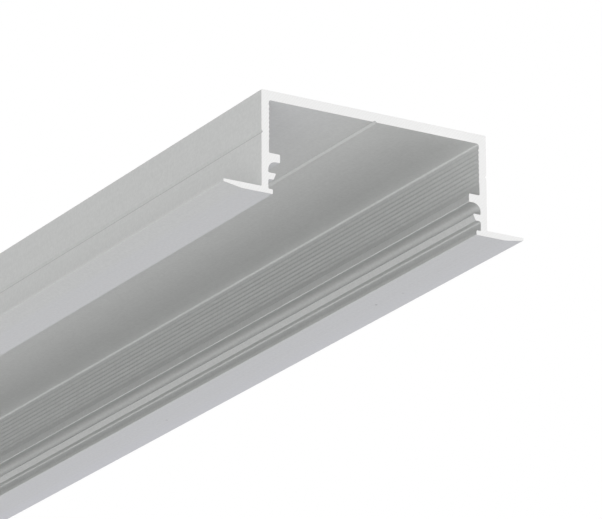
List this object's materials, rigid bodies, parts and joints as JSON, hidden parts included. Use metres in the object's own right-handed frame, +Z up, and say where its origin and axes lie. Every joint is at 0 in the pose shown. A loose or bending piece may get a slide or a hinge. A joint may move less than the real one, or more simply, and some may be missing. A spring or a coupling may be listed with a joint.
{
  "type": "led strip aluminium profile",
  "caption": "Recessed aluminium channel for a wide LED strip: shallow hat section with trim flanges, snap ribs for a diffuser and finely toothed inner walls.",
  "frame": {"origin": "middle of the length and of the width, in the plane of the flanges' undersides, which is also the face of the ceiling it is let into", "axes": "+Y along the profile, +X across it, +Z up from the open side to the web, as it is installed"},
  "size_m": [0.044, 0.5, 0.0137],
  "materials": {
    "anodised_aluminium": "satin anodised, with bright saw-cut ends"
  },
  "bodies": {
    "root": {"profile": "anodised_aluminium"}
  },
  "joints": []
}
